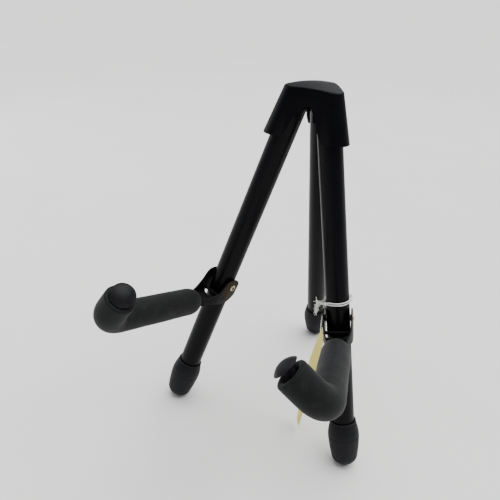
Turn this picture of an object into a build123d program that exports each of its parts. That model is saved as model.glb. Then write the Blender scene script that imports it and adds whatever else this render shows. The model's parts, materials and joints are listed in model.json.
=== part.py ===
from build123d import *
import os
from math import atan2, cos, degrees, hypot, radians, sin, sqrt, tan

# Folding three-legged guitar stand. The origin is on the floor, in the middle of the stand's box.
# -Y is the front, where the instrument rests. Z is up. Millimetres.

# ---- driving dimensions ----
head_y = 37.8           # the head's vertical axis, behind the origin
pivot_height = 378.0     # leg hinge pins above the floor
pivot_radius = 23.9      # leg hinge pins from the head's axis
front_azimuth = 55.8     # front legs, measured from -Y
front_splay = 17.2       # front legs from vertical
rear_splay = 18.4

leg_radius = 13.0
leg_wall = 1.2
leg_top = 6.0            # tube above the hinge pin
cap_height = 1.8         # plug's flange on the end of the tube
pin_radius = 2.0
running = 0.05           # radial clearance on every pin that something turns on

boot_height = 56.7
boot_sole = 14.0         # rubber under the end of the tube
boot_dome = 16.1
boot_flat = 0.4          # depth ground flat under the dome

head_top = 406.8         # crown of the head
head_skirt = 356.0
hood_wall = 1.8
crown_radius = 220.0

arm_height = 173.9       # arm rivets above the floor
arm_azimuth = 14.4       # arms turn out this far from straight ahead
left_rise = 5.6          # arms stand this far above square to their leg
right_rise = 4.8
arm_drop = 21.3          # arm's axis below its rivet
arm_reach = 173.5        # rivet to the corner of the bend, along the arm
arm_bend = 82.0          # how far the tube turns at the corner
bend_radius = 21.0
tip_length = 40.6        # corner of the bend to the end of a full-length foam sleeve
tube_short = 4.5         # arm tube ends this far inside it
left_foam_short = 3.5    # the left sleeve has crept down its tube
arm_radius = 8.0
arm_wall = 1.2
foam_radius = 15.1
left_turn = 20.4         # tips turned inward about the arm at rest
right_turn = 40.4

cap_radius = 12.0        # plugs in the ends of the tips
cap_dome = 5.8

sheet = 1.4              # fork steel
fork_inside = 14.6       # half the space between the fork's cheeks
rivet_radius = 2.5
stop_radius = 2.0
stop_drop = 12.7         # stop pin below the rivet
spacer_radius = 3.6
floor_notch = 16.2       # fork's floor is cut back this far from the tube's axis
screw_head = 3.1

string_radius = 0.75
tag_width = 14.5
tag_thickness = 0.5


# ---- frames ----
def outward(azimuth):
    return Vector(sin(radians(azimuth)), -cos(radians(azimuth)), 0)


def around(azimuth):
    return Vector(cos(radians(azimuth)), sin(radians(azimuth)), 0)


def leg_plane(azimuth, splay):
    """On the hinge pin: x outward, y along the pin, z up the leg."""
    d = outward(azimuth)
    up = Vector(0, 0, cos(radians(splay))) - d * sin(radians(splay))
    n = d * cos(radians(splay)) + Vector(0, 0, sin(radians(splay)))
    origin = d * pivot_radius + Vector(0, head_y, pivot_height)
    return Plane(origin=origin, x_dir=n, z_dir=up)


def leg_length(splay):
    return pivot_height / cos(radians(splay))


def arm_plane(side):
    """On the rivet: x along the arm, y square to it and up, z along the rivet."""
    rise = left_rise if side < 0 else right_rise
    leg = leg_plane(side * front_azimuth, front_splay)
    along_leg = (pivot_height - arm_height) / cos(radians(front_splay))
    origin = leg.origin - leg.z_dir * along_leg
    rivet = outward(side * arm_azimuth).cross(leg.z_dir).normalized()
    square = leg.z_dir.cross(rivet)
    arm = square * cos(radians(rise)) + leg.z_dir * sin(radians(rise))
    return Plane(origin=origin, x_dir=arm, z_dir=rivet)


def tip_plane(side, turn):
    """On the arm's axis below the rivet: x along the arm, y towards the tip."""
    fork = arm_plane(side)
    start = fork.origin - fork.y_dir * arm_drop
    tip = fork.y_dir * cos(radians(turn)) + fork.z_dir * side * sin(radians(turn))
    return Plane(origin=start, x_dir=fork.x_dir, z_dir=fork.x_dir.cross(tip))


def axial(plane):
    """The plane through a frame's own z axis: its x outward, its y along that axis."""
    return Plane(origin=plane.origin, x_dir=plane.x_dir, z_dir=-plane.y_dir)


legs = {
    "left": (-front_azimuth, front_splay),
    "right": (front_azimuth, front_splay),
    "rear": (180.0, rear_splay),
}
sides = {"left": (-1, left_turn), "right": (1, right_turn)}
os.makedirs("parts", exist_ok=True)


def keep(builder, name):
    builder.part.label = name
    export_step(builder.part, "parts/" + name + ".step")
    print(name, round(builder.part.volume, 1))


# ---- head: a hood of three noses over an inner hinge frame ----
face_azimuths = (0.0, (180 + front_azimuth) / 2, -(180 + front_azimuth) / 2)
nose_low, nose_high = 39.2, 23.2            # centres of the nose rounds from the axis
round_low, round_high = 17.5, 11.5          # radii of the nose rounds
level_low, level_high = 345.0, 404.0


def nose_at(z):
    share = (z - level_low) / (level_high - level_low)
    return nose_low + (nose_high - nose_low) * share, round_low + (round_high - round_low) * share


def hood_corners(z, inset):
    """Corners of the triangle whose sides touch the three nose rounds."""
    nose, rounding = nose_at(z)
    half = radians(front_azimuth)
    front = nose * cos(half) + rounding - inset
    side_angle = radians(face_azimuths[1])
    side = nose * cos(side_angle - half) + rounding - inset
    x = (side - front * cos(side_angle)) / sin(side_angle)
    back = side / cos(radians(180) - side_angle)
    return [(-x, -front), (x, -front), (0, back)]


def hood_body(z0, z1, inset):
    with BuildPart() as body:
        for z in (z0, z1):
            with BuildSketch(Plane.XY.offset(z).shift_origin((0, head_y, z))) as section:
                with BuildLine():
                    Polyline(*hood_corners(z, inset), close=True)
                make_face()
                fillet(section.vertices(), nose_at(z)[1] - inset)
        loft()
    return body.part


inner_top = 401.2
screw_radius = 12.0
screw_spots = [outward(azimuth) * screw_radius + Vector(0, head_y, 0) for azimuth in face_azimuths]
outer_form = hood_body(head_skirt, head_top + 2, 0)
inner_form = hood_body(head_skirt - 1, inner_top, hood_wall)
frame_room = hood_body(head_skirt, inner_top, hood_wall + 0.15)

with BuildPart() as head_shell:
    add(outer_form)
    with Locations((0, head_y, head_top - crown_radius)):
        Sphere(crown_radius, mode=Mode.INTERSECT)
    rim = head_shell.faces().filter_by(GeomType.SPHERE).edges()
    fillet(rim, 2.8)
    add(inner_form, mode=Mode.SUBTRACT)
    # an arch between each pair of legs, wider on the two rear faces
    for azimuth in face_azimuths:
        face = Plane(origin=(0, head_y, 0), x_dir=around(azimuth), z_dir=outward(azimuth))
        top, waist, foot = (9.2, 14.6, 21.6) if azimuth == 0 else (11.0, 17.0, 24.0)
        with BuildSketch(face):
            with BuildLine():
                ThreePointArc((-top, 381.5), (0, 388.5), (top, 381.5))
                Line((top, 381.5), (waist, 368))
                TangentArc((waist, 368), (foot, head_skirt), tangent=(waist - top, -13.5))
                Polyline((foot, head_skirt), (foot, 350), (-foot, 350), (-foot, head_skirt))
                TangentArc((-waist, 368), (-foot, head_skirt), tangent=(top - waist, -13.5))
                Line((-waist, 368), (-top, 381.5))
            make_face()
        extrude(amount=70, mode=Mode.SUBTRACT)
    with Locations(*[spot + Vector(0, 0, inner_top) for spot in screw_spots]):
        Cylinder(1.55, 2 * 3.4, mode=Mode.SUBTRACT)
keep(head_shell, "head_shell")

plate_bottom = 399.2
cheek_inside = leg_radius + 0.3
cheek_outside = cheek_inside + 2.6
pin_half = cheek_outside - 1.0
with BuildPart() as hinge_frame:
    with BuildSketch(Plane.XY.offset(plate_bottom)):
        with Locations((0, head_y)):
            Circle(60)
    extrude(amount=inner_top - plate_bottom)
    for azimuth, splay in legs.values():
        bay = Plane(origin=(0, head_y, 0), x_dir=outward(azimuth), z_dir=-around(azimuth))
        for sign in (1, -1):
            near = bay.offset(sign * cheek_inside)
            with BuildSketch(near):
                with BuildLine():
                    Polyline((8, plate_bottom), (8, 390), (17.5, 381), (18.5, 372.5), (32, 372.5),
                             (32, plate_bottom), close=True)
                make_face()
            extrude(amount=sign * (cheek_outside - cheek_inside))
        leg = leg_plane(azimuth, splay)
        # stop pad that the leg's cap rests under when the leg is out
        with BuildSketch(leg.offset(leg_top + cap_height + 0.06)):
            with Locations((8, 0)):
                Rectangle(6, 12)
        extrude(amount=18)
        with BuildSketch(Plane(origin=leg.origin, x_dir=leg.x_dir, z_dir=leg.y_dir)):
            Circle(pin_radius + 0.01)
        extrude(amount=30, both=True, mode=Mode.SUBTRACT)
    add(frame_room, mode=Mode.INTERSECT)
    with Locations(*[spot + Vector(0, 0, plate_bottom + 1) for spot in screw_spots]):
        Cylinder(1.7, 6, mode=Mode.SUBTRACT)
keep(hinge_frame, "hinge_frame")

with BuildPart() as frame_screws:
    for spot in screw_spots:
        under = Plane(origin=spot + Vector(0, 0, plate_bottom))
        with BuildSketch(under):
            Circle(1.5)
        extrude(amount=inner_top - plate_bottom + 3.2)
        with BuildSketch(under.offset(-2.0)):
            Circle(2.9)
        extrude(amount=2.0)
        with BuildSketch(under.offset(-2.0)):
            RegularPolygon(1.3, 6)
        extrude(amount=1.4, mode=Mode.SUBTRACT)
keep(frame_screws, "frame_screws")


# ---- legs ----
def foot_profile(splay):
    """Right half of the boot: x from the leg's axis, y from the floor along it."""
    centre = (boot_dome - boot_flat) / cos(radians(splay))
    waist_r, waist_y = 14.7, 10.0
    start = (0, centre - boot_dome)
    angle = atan2(waist_y - centre, waist_r)
    middle = ((angle - radians(90)) / 2)
    mid_point = (boot_dome * cos(middle), centre + boot_dome * sin(middle))
    end_r = sqrt(boot_dome**2 - (waist_y - centre)**2)
    return start, mid_point, (end_r, waist_y)


for name, (azimuth, splay) in legs.items():
    leg = leg_plane(azimuth, splay)
    up = leg.z_dir
    length = leg_length(splay)
    floor_point = leg.origin - up * length
    floor_frame = Plane(origin=floor_point, x_dir=leg.x_dir, z_dir=-leg.y_dir)
    pin_plane = Plane(origin=leg.origin, x_dir=leg.x_dir, z_dir=leg.y_dir)

    with BuildPart() as pin:
        with BuildSketch(pin_plane.offset(-pin_half)):
            Circle(pin_radius)
        extrude(amount=2 * pin_half)
        chamfer(pin.edges(), 0.3)
    keep(pin, name + "_leg_hinge_pin")

    with BuildPart() as tube:
        with BuildSketch(leg.offset(boot_sole - length)):
            Circle(leg_radius)
            Circle(leg_radius - leg_wall, mode=Mode.SUBTRACT)
        extrude(amount=length - boot_sole + leg_top)
        with BuildSketch(pin_plane):
            Circle(pin_radius + running)
        extrude(amount=20, both=True, mode=Mode.SUBTRACT)
        if name in sides:
            arm = arm_plane(sides[name][0])
            with BuildSketch(Plane(origin=arm.origin, x_dir=arm.x_dir, z_dir=arm.z_dir)):
                Circle(rivet_radius + running)
            extrude(amount=20, both=True, mode=Mode.SUBTRACT)
    keep(tube, name + "_leg_tube")

    with BuildPart() as cap:
        with BuildSketch(leg.offset(-14)):
            Circle(leg_radius - leg_wall - 0.03)
        extrude(amount=14 + leg_top)
        with BuildSketch(leg.offset(leg_top)):
            Circle(leg_radius)
        extrude(amount=cap_height)
        chamfer(cap.faces().sort_by(Axis(leg.origin, up))[-1].edges(), 0.6)
        with BuildSketch(pin_plane):
            Circle(pin_radius + running)
        extrude(amount=20, both=True, mode=Mode.SUBTRACT)
    keep(cap, name + "_leg_cap")

    with BuildPart() as boot:
        start, middle, waist = foot_profile(splay)
        with BuildSketch(floor_frame):
            with BuildLine():
                ThreePointArc(start, middle, waist)
                Spline(waist, (16.7, 22), (17.9, 37), (16.8, 47), (14.9, 54.5))
                Line((14.9, 54.5), (14.5, 55.0))
                Line((14.5, 55.0), (14.7, 57.6))
                Line((14.7, 57.6), (14.1, boot_height))
                Line((14.1, boot_height), (leg_radius + 0.02, boot_height))
                Line((leg_radius + 0.02, boot_height), (leg_radius + 0.02, boot_sole - 0.02))
                Line((leg_radius + 0.02, boot_sole - 0.02), (0, boot_sole - 0.02))
                Line((0, boot_sole - 0.02), start)
            make_face()
        revolve(axis=Axis(floor_point, up))
        # worn flat where it stands
        with Locations((floor_point.X, floor_point.Y, -5)):
            Box(60, 60, 10, mode=Mode.SUBTRACT)
    keep(boot, name + "_foot")


# ---- arms ----
web_back = 39.1
washer_back = web_back + sheet + 0.05
flange_back = washer_back + 0.8 + 0.05
tube_start = flange_back + 1.6
foam_start = flange_back + 0.1


cap_seats = {"left": (0.7, (-17, -9, 0)), "right": (4.2, (14, -2, 0))}     # how far out, and the tilt


def cap_frame(tip, side_name):
    """Where a cap's brim lies: z out along the tip. The caps have worked loose."""
    proud, tilt = cap_seats[side_name]
    corner = tip.origin + tip.x_dir * arm_reach
    direction = tip.x_dir * cos(radians(arm_bend)) + tip.y_dir * sin(radians(arm_bend))
    seat = corner + direction * (tip_length + proud)
    return Plane(origin=seat, x_dir=tip.z_dir, z_dir=direction).rotated(tilt)


def channel(inset):
    """Plan of the fork, filled: straight beside the tube, then drawn in to the web."""
    half = fork_inside + sheet - inset
    with BuildSketch(mode=Mode.PRIVATE) as sketch:
        with BuildLine():
            for way in (1, -1):
                Line((-25, way * half), (6, way * half))
                Spline((6, way * half), (20, way * (half - 0.7)), (31 - inset / 2, way * (half - 3.6)),
                       (web_back + sheet - inset, way * (half - 7.6)), tangents=((1, 0), (1, -way)))
            Line((-25, -half), (-25, half))
            Line((web_back + sheet - inset, 7.6 - half), (web_back + sheet - inset, half - 7.6))
        make_face()
    return sketch.sketch


for name, (side, turn) in sides.items():
    fork_frame = arm_plane(side)
    tip = tip_plane(side, turn)
    leg = leg_plane(side * front_azimuth, front_splay)
    plan = Plane(origin=fork_frame.origin, x_dir=fork_frame.x_dir, z_dir=fork_frame.y_dir)
    across = Plane(origin=tip.origin, x_dir=tip.y_dir, z_dir=tip.x_dir)
    # where the stop pin meets the front of the tube
    lean = fork_frame.x_dir.dot(leg.z_dir)
    upright = fork_frame.y_dir.dot(leg.z_dir)
    stop_x = (leg_radius + stop_radius + 0.06 - stop_drop * lean) / upright

    with BuildPart() as fork_floor:
        with BuildSketch(plan.offset(-32)):
            add(channel(0))
            with Locations((web_back, 0)):
                Rectangle(4.8, 2 * screw_head + 0.8, mode=Mode.SUBTRACT)
        extrude(amount=50)
        with BuildSketch(fork_frame):
            with BuildLine():
                Polyline((4, -21.2), (31, -21.4), (web_back + sheet, -23.9), (web_back + sheet, -22.4),
                         (31, -20.0), (4, -19.8), close=True)
            make_face()
        extrude(amount=30, both=True, mode=Mode.INTERSECT)
        with BuildSketch(leg.offset(-leg_length(front_splay))):
            with Locations((0, 0)):
                Circle(floor_notch)
        extrude(amount=leg_length(front_splay), mode=Mode.SUBTRACT)

    with BuildPart() as fork:
        with BuildSketch(plan.offset(-32)):
            add(channel(0))
            add(channel(sheet), mode=Mode.SUBTRACT)
            with Locations((-20, 0)):
                Rectangle(20, 60, mode=Mode.SUBTRACT)
        extrude(amount=50)
        bends = fork.edges().filter_by(Axis(plan.origin, plan.z_dir)).filter_by(
            lambda e: (e.center() - plan.origin).dot(plan.x_dir) > 34)
        fillet(bends, 1.2)
        with BuildSketch(fork_frame) as outline:
            with BuildLine():
                Spline((-9.7, 4.6), (-1.0, 10.6), (9.5, 9.6), (15.5, 4.0),
                       tangents=((0.6, 1.0), (0.45, -1.0)))
                Spline((15.5, 4.0), (19.5, -5.0), (34, -14.0), (web_back + sheet + 1, -15.6),
                       tangents=((0.45, -1.0), (1.0, -0.1)))
                Line((web_back + sheet + 1, -15.6), (web_back + sheet + 1, -24.0))
                Line((web_back + sheet + 1, -24.0), (31, -21.4))
                Line((31, -21.4), (6, -21.2))
                Spline((6, -21.2), (-6.8, -14.6), (-12.2, -3), (-9.7, 4.6),
                       tangents=((-1.0, 0.1), (0.6, 1.0)))
            make_face()
        extrude(amount=30, both=True, mode=Mode.INTERSECT)
        add(fork_floor.part)
        with BuildSketch(fork_frame):
            Circle(rivet_radius + running)
        extrude(amount=30, both=True, mode=Mode.SUBTRACT)
        with BuildSketch(fork_frame):
            with Locations((stop_x, -stop_drop)):
                Circle(stop_radius)
        extrude(amount=30, both=True, mode=Mode.SUBTRACT)
        with BuildSketch(across.offset(web_back - 5)):
            Circle(rivet_radius + running)
        extrude(amount=10, mode=Mode.SUBTRACT)
    keep(fork, name + "_arm_fork")

    with BuildPart() as rivet:
        half = fork_inside + sheet + running
        with BuildSketch(fork_frame.offset(-half)):
            Circle(rivet_radius)
        extrude(amount=2 * half)
        for sign in (1, -1):
            with BuildSketch(fork_frame.offset(sign * half)):
                Circle(3.7)
            extrude(amount=sign * 1.2, taper=12)
        with BuildSketch(fork_frame):
            Circle(1.3)
        extrude(amount=30, both=True, mode=Mode.SUBTRACT)
    keep(rivet, name + "_arm_rivet")

    with BuildPart() as spacers:
        for sign in (1, -1):
            with BuildSketch(fork_frame.offset(sign * (leg_radius + 0.1))):
                Circle(spacer_radius)
                Circle(rivet_radius + running, mode=Mode.SUBTRACT)
            extrude(amount=sign * (fork_inside - leg_radius - 0.2))
    keep(spacers, name + "_arm_spacers")

    with BuildPart() as stop_pin:
        half = fork_inside + sheet - 0.2
        with BuildSketch(fork_frame.offset(-half)):
            with Locations((stop_x, -stop_drop)):
                Circle(stop_radius)
        extrude(amount=2 * half)
    keep(stop_pin, name + "_arm_stop_pin")

    with BuildPart() as screw:
        with BuildSketch(across.offset(web_back - 0.05)):
            Circle(screw_head)
        extrude(amount=-2.0, taper=12)
        with BuildSketch(across.offset(web_back - 2.05)):
            RegularPolygon(1.6, 6)
        extrude(amount=1.1, mode=Mode.SUBTRACT)
        with BuildSketch(across.offset(web_back - 0.05)):
            Circle(rivet_radius)
        extrude(amount=14)
    keep(screw, name + "_arm_screw")

    with BuildPart() as friction_washer:
        with BuildSketch(across.offset(washer_back)):
            Circle(6.6)
            Circle(rivet_radius + running, mode=Mode.SUBTRACT)
        extrude(amount=0.8)
    keep(friction_washer, name + "_arm_friction_washer")

    with BuildPart() as insert:
        with BuildSketch(across.offset(flange_back)):
            Circle(arm_radius)
        extrude(amount=tube_start - flange_back)
        with BuildSketch(across.offset(tube_start)):
            Circle(arm_radius - arm_wall - 0.02)
        extrude(amount=16)
        with BuildSketch(across.offset(flange_back - 1)):
            Circle(rivet_radius + running)
        extrude(amount=web_back - 0.05 + 14 - flange_back + 1, mode=Mode.SUBTRACT)
    keep(insert, name + "_arm_insert")

    direction = (cos(radians(arm_bend)), sin(radians(arm_bend)))

    def bent(start, end_length, radius):
        """A round bar along the arm and up the tip."""
        end = (arm_reach + direction[0] * end_length, direction[1] * end_length)
        with BuildPart() as bar:
            with BuildLine(tip) as path:
                FilletPolyline((start, 0), (arm_reach, 0), end, radius=bend_radius)
            with BuildSketch(across.offset(start)):
                Circle(radius)
            sweep(path=path.line)
        return bar.part

    tube_form = bent(tube_start, tip_length - tube_short, arm_radius)
    tube_bore = bent(tube_start - 1, tip_length + 1, arm_radius - arm_wall)
    with BuildPart() as arm_tube:
        add(tube_form)
        add(tube_bore, mode=Mode.SUBTRACT)
    keep(arm_tube, name + "_arm_tube")

    foam_end = tip_length - (left_foam_short if side < 0 else 0)
    foam_form = bent(foam_start, foam_end, foam_radius)
    foam_bore = bent(foam_start - 3, tip_length + 2, arm_radius + 0.03)
    with BuildPart() as sleeve:
        add(foam_form)
        mouth = sleeve.faces().filter_by(GeomType.PLANE).sort_by(Axis(tip.origin, tip.x_dir))
        fillet(mouth[-1].edges(), 2.5)
        # rounded end beside the fork
        with BuildSketch(tip):
            with BuildLine():
                Spline((foam_start, 9.6), (foam_start + 4.2, 13.2), (foam_start + 14, foam_radius),
                       tangents=((0.25, 1.0), (1.0, 0.0)))
                Polyline((foam_start + 14, foam_radius), (foam_start + 14, 20), (foam_start - 2, 20),
                         (foam_start - 2, 9.6), (foam_start, 9.6))
            make_face()
        revolve(axis=Axis(tip.origin, tip.x_dir), mode=Mode.SUBTRACT)
        add(foam_bore, mode=Mode.SUBTRACT)
    keep(sleeve, name + "_foam_sleeve")

    seat = cap_frame(tip, name)
    with BuildPart() as tip_cap:
        with BuildSketch(Plane(origin=seat.origin, x_dir=seat.x_dir, z_dir=-seat.y_dir)):
            with BuildLine():
                Polyline((0, cap_dome), (0, -10.5), (2.6, -10.5), (3.2, -9.5), (3.2, 0), (cap_radius - 0.3, 0),
                         (cap_radius, 0.8))
                TangentArc((0, cap_dome), (cap_radius, 0.8), tangent=(1, 0))
            make_face()
        revolve(axis=Axis(seat.origin, seat.z_dir))
    keep(tip_cap, name + "_tip_cap")


# ---- tie-on tag on the right leg ----
leg = leg_plane(front_azimuth, front_splay)
loop_drop = 194.0        # string round the leg, below its hinge pin
ring_radius = leg_radius + 0.15 + string_radius
knot_radius = 3.2
tag_top, tag_middle, tag_bottom = Vector(55.4, -41.6, 150), Vector(50.0, -45.2, 88), Vector(46.8, -54.0, 7.0)


def on_leg(x, y, drop):
    """A point outward, around and down from the hinge pin, in the leg's own frame."""
    return leg.origin + leg.x_dir * x + leg.y_dir * y - leg.z_dir * drop


def tag_section(share):
    """Level plane through the paper: 1 at its top, -1 at its bottom. The paper twists between them."""
    sway = (tag_top + tag_bottom) / 2 - tag_middle
    centre = tag_middle + (tag_top - tag_bottom) * (share / 2) + sway * share**2
    facing = radians(-22 - 50 * abs(share)**1.5)
    flat = Vector(cos(facing), sin(facing), 0)
    return Plane(origin=centre + Vector(0, head_y, 0), x_dir=flat, z_dir=(0, 0, 1))


knot = on_leg(-12.7, -16.2, 197.1)
eyelet = tag_section(0.9)
with BuildPart() as tie_string:
    for step in (0, 1):
        with BuildSketch(axial(leg)):
            with Locations((ring_radius, -loop_drop - 1.45 * step)):
                Circle(string_radius)
        revolve(axis=Axis(leg.origin, leg.z_dir))
    bearing = degrees(atan2(-16.2, -12.7))
    for turn, step in ((52, 0), (-52, 1)):
        near = radians(bearing + turn)
        start = on_leg(ring_radius * cos(near), ring_radius * sin(near), loop_drop + 1.45 * step)
        with BuildSketch(Plane(origin=start, z_dir=knot - start)):
            Circle(string_radius)
        extrude(amount=(knot - start).length)
    with Locations(Location(knot)):
        Sphere(knot_radius)
    for tail, radius in ((Vector(-1.0, -1.5, -10.5), 1.7), (Vector(-5.0, -2.0, 4.2), 0.8),
                         (Vector(-0.6, -2.6, 5.6), 0.8)):
        with BuildSketch(Plane(origin=knot, z_dir=tail)):
            Circle(radius)
        extrude(amount=tail.length, taper=3)
    hang = eyelet.from_local_coords
    route = [knot, on_leg(-19.5, -11.0, 206.6), hang(Vector(0, -3.2, 11)), hang(Vector(0, -3.2, 0)),
             hang(Vector(0, 3.2, 0))]
    with BuildLine() as path:
        FilletPolyline(*route, radius=[4, 4, 2.2])
    with BuildSketch(Plane(origin=route[0], z_dir=path.line % 0)):
        Circle(string_radius)
    sweep(path=path.line)
    with Locations(Location(route[-1])):
        Sphere(1.9)
keep(tie_string, "tie_string")

with BuildPart() as paper_tag:
    for share in (1.07, 1.0, 0.75, 0.5, 0.25, 0.0, -0.25, -0.5, -0.75, -1.0):
        with BuildSketch(tag_section(share)):
            Rectangle(tag_width if share <= 1 else tag_width / 2, tag_thickness)
    loft(ruled=True)
    with BuildSketch(Plane(origin=eyelet.origin, x_dir=eyelet.x_dir, z_dir=eyelet.y_dir)):
        Circle(string_radius + 0.5)
    extrude(amount=3, both=True, mode=Mode.SUBTRACT)
keep(paper_tag, "paper_tag")
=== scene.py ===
import bpy
import json
import random
from math import atan2, cos, pi, radians, sin, sqrt
from mathutils import Matrix, Vector, noise


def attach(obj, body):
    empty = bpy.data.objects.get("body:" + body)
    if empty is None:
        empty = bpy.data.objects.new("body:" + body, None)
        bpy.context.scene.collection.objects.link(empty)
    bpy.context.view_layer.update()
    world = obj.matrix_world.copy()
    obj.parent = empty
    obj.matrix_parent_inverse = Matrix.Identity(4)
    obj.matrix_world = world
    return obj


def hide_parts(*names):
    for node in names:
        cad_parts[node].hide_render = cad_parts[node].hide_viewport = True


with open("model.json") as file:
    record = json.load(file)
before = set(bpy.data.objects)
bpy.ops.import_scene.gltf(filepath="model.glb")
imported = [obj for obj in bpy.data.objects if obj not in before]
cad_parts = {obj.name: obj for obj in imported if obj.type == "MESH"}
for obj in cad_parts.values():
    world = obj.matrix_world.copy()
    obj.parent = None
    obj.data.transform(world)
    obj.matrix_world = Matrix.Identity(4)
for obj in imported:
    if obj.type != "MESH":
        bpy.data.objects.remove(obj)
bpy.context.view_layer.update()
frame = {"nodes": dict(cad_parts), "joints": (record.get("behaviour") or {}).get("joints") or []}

random.seed(7)
joints = {joint["name"]: joint for joint in frame["joints"]}


# camera, set where the stand is seen from above and a little to its left front
view = {"place": (0.162967, -0.475639, 0.497845), "turn": (61.6751, -3.9375, 25.6967), "lens": 36.7056}
bpy.ops.object.select_all(action="DESELECT")
bpy.ops.object.camera_add(location=view["place"], rotation=[radians(a) for a in view["turn"]])
viewCamera = bpy.context.object
viewCamera.name = "viewCamera"
viewCamera.data.lens = view["lens"]
viewCamera.data.sensor_width = 36
viewCamera.data.clip_start = 0.02
bpy.context.scene.camera = viewCamera
print("camera set")


# small tools
def clearSelection():
    if bpy.context.object and bpy.context.object.mode != "OBJECT":
        bpy.ops.object.mode_set(mode="OBJECT")
    bpy.ops.object.select_all(action="DESELECT")


def onlySelect(piece):
    clearSelection()
    piece.select_set(True)
    bpy.context.view_layer.objects.active = piece


def placeMatrix(origin, xWay, zWay):    # bench x and z to ways in the frame
    x = Vector(xWay).normalized()
    z = (Vector(zWay) - x * x.dot(Vector(zWay))).normalized()
    turn = Matrix((x, z.cross(x), z)).transposed().to_4x4()
    return Matrix.Translation(origin) @ turn


def settle(piece, place=None):          # puts a bench piece in its place, with its origin at the frame's
    onlySelect(piece)
    if place is not None:
        piece.matrix_world = place @ piece.matrix_world
    bpy.ops.object.transform_apply(location=True, rotation=True, scale=True)


def applyAll(piece):
    onlySelect(piece)
    for modifier in list(piece.modifiers):
        bpy.ops.object.modifier_apply(modifier=modifier.name)


def finishMesh(piece, angle=40):        # merged, facing outwards, smooth but for its real edges
    onlySelect(piece)
    bpy.ops.object.mode_set(mode="EDIT")
    bpy.ops.mesh.select_all(action="SELECT")
    bpy.ops.mesh.remove_doubles(threshold=0.00001)
    bpy.ops.mesh.normals_make_consistent(inside=False)
    bpy.ops.object.mode_set(mode="OBJECT")
    bpy.ops.object.shade_smooth_by_angle(angle=radians(angle))


def hump(offset):                       # 1 in its middle, falling away on both sides
    return 2.718 ** (-offset ** 2)


def startRing(name, radius, count=48, height=0.0):
    clearSelection()
    bpy.ops.mesh.primitive_circle_add(vertices=count, radius=radius, location=(0, 0, height))
    piece = bpy.context.object
    piece.name = name
    piece.data.name = name
    bpy.ops.object.transform_apply(location=True, rotation=True, scale=True)
    bpy.ops.object.mode_set(mode="EDIT")
    bpy.ops.mesh.select_all(action="SELECT")
    return piece


def growRings(rings, radius, height):   # extrudes the selected ring through radius and height pairs
    for nextRadius, nextHeight in rings:
        bpy.ops.mesh.extrude_region_move(TRANSFORM_OT_translate={"value": (0, 0, nextHeight - height)})
        share = nextRadius / radius
        bpy.ops.transform.resize(value=(share, share, 1), center_override=(0, 0, nextHeight))
        radius, height = nextRadius, nextHeight
    return radius, height


def closeRing():                        # a small pole in the ring that is selected
    bpy.ops.mesh.edge_face_add()
    bpy.ops.mesh.poke()


def turnedPiece(name, rings, count=48): # rings from the bottom pole to the top pole, in millimetres
    rings = [(r / 1000, h / 1000) for r, h in rings]
    piece = startRing(name, rings[0][0], count, rings[0][1])
    closeRing()
    bpy.ops.mesh.select_all(action="DESELECT")
    bpy.ops.object.mode_set(mode="OBJECT")
    middle = Vector((0, 0, rings[0][1]))
    for vert in piece.data.vertices:    # the outer ring again, without its pole
        vert.select = (vert.co - middle).length > rings[0][0] * 0.5
    for edge in piece.data.edges:
        edge.select = all(piece.data.vertices[i].select for i in edge.vertices)
    bpy.ops.object.mode_set(mode="EDIT")
    growRings(rings[1:], *rings[0])
    closeRing()
    bpy.ops.object.mode_set(mode="OBJECT")
    return piece


# shader writing
class Wire:                             # a socket that does arithmetic
    def __init__(self, finish, socket):
        self.finish = finish
        self.socket = socket

    def sums(self, operation, first, second):
        return self.finish.make("Math", {"operation": operation}, {0: first, 1: second})

    def __add__(self, other):
        return self.sums("ADD", self, other)

    def __radd__(self, other):
        return self.sums("ADD", other, self)

    def __sub__(self, other):
        return self.sums("SUBTRACT", self, other)

    def __rsub__(self, other):
        return self.sums("SUBTRACT", other, self)

    def __mul__(self, other):
        return self.sums("MULTIPLY", self, other)

    def __rmul__(self, other):
        return self.sums("MULTIPLY", other, self)


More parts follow.
